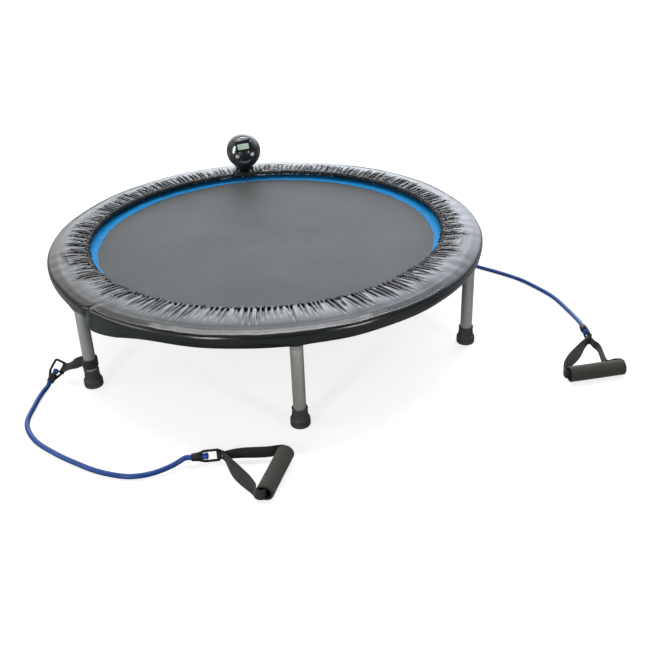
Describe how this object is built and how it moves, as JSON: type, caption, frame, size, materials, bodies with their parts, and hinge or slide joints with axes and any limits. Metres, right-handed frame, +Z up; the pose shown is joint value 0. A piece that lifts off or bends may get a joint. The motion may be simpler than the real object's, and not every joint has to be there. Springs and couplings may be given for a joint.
{
  "type": "mini trampoline",
  "caption": "Round mini trampoline on straight screw-on legs, with a padded edge, a rim monitor ball and two rubber exercise bands with foam handles.",
  "frame": {"origin": "centre of the jump mat's top face, 0.1975 m above the floor", "axes": "+Z up out of the mat; +Y towards the rim monitor's side (the monitor sits 6.5 degrees towards -X from +Y); the front of the object faces -Y"},
  "size_m": [1.2276, 1.1838, 0.3125],
  "materials": {
    "satin_steel": "satin grey plated steel tube",
    "zinc": "bright zinc plating",
    "foot_rubber": "matt dark grey rubber",
    "mat_fabric": "black woven polypropylene",
    "blue_webbing": "azure woven webbing",
    "vinyl": "glossy black vinyl-coated fabric",
    "foam": "pale open foam",
    "elastic": "braided elastic cord",
    "black_plastic": "satin moulded plastic",
    "gloss_black": "high gloss black plastic",
    "webbing": "near-black woven webbing",
    "blue_rubber": "royal blue latex tube",
    "grip_foam": "near-black closed-cell foam",
    "display": "pale green display",
    "window": "clear window",
    "silver_plastic": "silver plastic",
    "board": "green circuit board"
  },
  "bodies": {
    "frame": {"frame_tube_front": "satin_steel", "frame_tube_rear": "satin_steel", "joiner_left": "zinc", "joiner_right": "zinc", "leg_foot_1": "foot_rubber", "leg_foot_2": "foot_rubber", "leg_foot_3": "foot_rubber", "leg_foot_4": "foot_rubber", "leg_foot_5": "foot_rubber", "leg_foot_6": "foot_rubber", "leg_socket_1": "zinc", "leg_socket_2": "zinc", "leg_socket_3": "zinc", "leg_socket_4": "zinc", "leg_socket_5": "zinc", "leg_socket_6": "zinc", "leg_tube_1": "satin_steel", "leg_tube_2": "satin_steel", "leg_tube_3": "satin_steel", "leg_tube_4": "satin_steel", "leg_tube_5": "satin_steel", "leg_tube_6": "satin_steel", "monitor_bezel": "black_plastic", "monitor_circuit_board": "board", "monitor_coin_cell": "zinc", "monitor_display": "display", "monitor_front_shell": "gloss_black", "monitor_rear_shell": "gloss_black", "monitor_saddle": "black_plastic", "monitor_strap": "webbing", "monitor_window": "window", "pad_cover": "vinyl", "pad_foam": "foam", "pad_inner_elastic": "elastic", "pad_outer_cord": "elastic", "suspension_cord": "elastic"},
    "mat": {"jump_mat": "mat_fabric", "mat_border": "blue_webbing"},
    "left_button": {"monitor_button_left": "silver_plastic"},
    "right_button": {"monitor_button_right": "silver_plastic"},
    "battery_cap": {"monitor_battery_cap": "black_plastic"},
    "left_strap": {"left_leg_strap": "webbing"},
    "left_yoke": {"left_leg_yoke": "black_plastic", "left_tube_root": "blue_rubber"},
    "left_tube": {"left_tube_mid": "blue_rubber"},
    "left_tube_tail": {"left_tube_end": "blue_rubber", "left_handle_yoke": "black_plastic"},
    "left_handle": {"left_handle_webbing": "webbing"},
    "left_grip": {"left_grip_core": "black_plastic", "left_foam_grip": "grip_foam"},
    "right_strap": {"right_leg_strap": "webbing"},
    "right_yoke": {"right_leg_yoke": "black_plastic", "right_tube_root": "blue_rubber"},
    "right_tube": {"right_tube_mid": "blue_rubber"},
    "right_tube_tail": {"right_tube_end": "blue_rubber", "right_handle_yoke": "black_plastic"},
    "right_handle": {"right_handle_webbing": "webbing"},
    "right_grip": {"right_grip_core": "black_plastic", "right_foam_grip": "grip_foam"}
  },
  "joints": [
    {"name": "mat_bounce", "type": "slide", "parent": "frame", "child": "mat", "axis": [0, 0, -1], "range_m": [0, 0.08], "stiffness_N_per_m": 9000, "deforming": ["suspension_cord"]},
    {"name": "left_button_press", "type": "slide", "parent": "frame", "child": "left_button", "axis": [-0.0581, 0.9493, -0.309], "range_m": [0, 0.001], "stiffness_N_per_m": 600},
    {"name": "right_button_press", "type": "slide", "parent": "frame", "child": "right_button", "axis": [-0.0581, 0.9493, -0.309], "range_m": [0, 0.001], "stiffness_N_per_m": 600},
    {"name": "battery_cap_turn", "type": "hinge", "parent": "frame", "child": "battery_cap", "pos_m": [-0.0468, 0.4302, 0.0697], "axis": [0.0581, -0.9493, 0.309], "range_deg": [0, 45]},
    {"name": "left_strap_turn", "type": "hinge", "parent": "frame", "child": "left_strap", "pos_m": [-0.38629, -0.26948, -0.142], "axis": [0, 0, 1], "range_deg": [-45, 5]},
    {"name": "left_yoke_turn", "type": "hinge", "parent": "left_strap", "child": "left_yoke", "pos_m": [-0.45096, -0.2387, -0.17103], "axis": [-0.4, -0.7869, -0.4699], "range_deg": [0, 12]},
    {"name": "left_tube_lift", "type": "hinge", "parent": "left_yoke", "child": "left_tube", "pos_m": [-0.48893, -0.43266, -0.1921], "axis": [-0.8834, -0.4687, 0], "range_deg": [0, 12]},
    {"name": "left_tube_bend", "type": "hinge", "parent": "left_tube", "child": "left_tube_tail", "pos_m": [-0.34502, -0.57186, -0.19211], "axis": [0, 0, 1], "range_deg": [-25, 5]},
    {"name": "left_handle_swing", "type": "hinge", "parent": "left_tube_tail", "child": "left_handle", "pos_m": [-0.1143, -0.56909, -0.1817], "axis": [0, 0, 1], "range_deg": [-45, 25]},
    {"name": "left_grip_spin", "type": "hinge", "parent": "left_handle", "child": "left_grip", "pos_m": [-0.0137, -0.6333, -0.181], "axis": [0.355, 0.9349, 0], "continuous": true},
    {"name": "right_strap_turn", "type": "hinge", "parent": "frame", "child": "right_strap", "pos_m": [0.38629, 0.26948, -0.142], "axis": [0, 0, 1], "range_deg": [-8, 45]},
    {"name": "right_yoke_turn", "type": "hinge", "parent": "right_strap", "child": "right_yoke", "pos_m": [0.43888, 0.23373, -0.17384], "axis": [0.1242, -0.084, 0.9887], "range_deg": [-8, 20]},
    {"name": "right_tube_lift", "type": "hinge", "parent": "right_yoke", "child": "right_tube", "pos_m": [0.5946, 0.11541, -0.19211], "axis": [-0.7246, -0.6891, 0], "range_deg": [0, 25]},
    {"name": "right_tube_bend", "type": "hinge", "parent": "right_tube", "child": "right_tube_tail", "pos_m": [0.68236, -0.03268, -0.19197], "axis": [0, 0, 1], "range_deg": [-5, 25]},
    {"name": "right_handle_swing", "type": "hinge", "parent": "right_tube_tail", "child": "right_handle", "pos_m": [0.69192, -0.2482, -0.1817], "axis": [0, 0, 1], "range_deg": [-40, 40]},
    {"name": "right_grip_spin", "type": "hinge", "parent": "right_handle", "child": "right_grip", "pos_m": [0.66, -0.3829, -0.181], "axis": [0.9934, 0.1145, 0], "continuous": true}
  ]
}
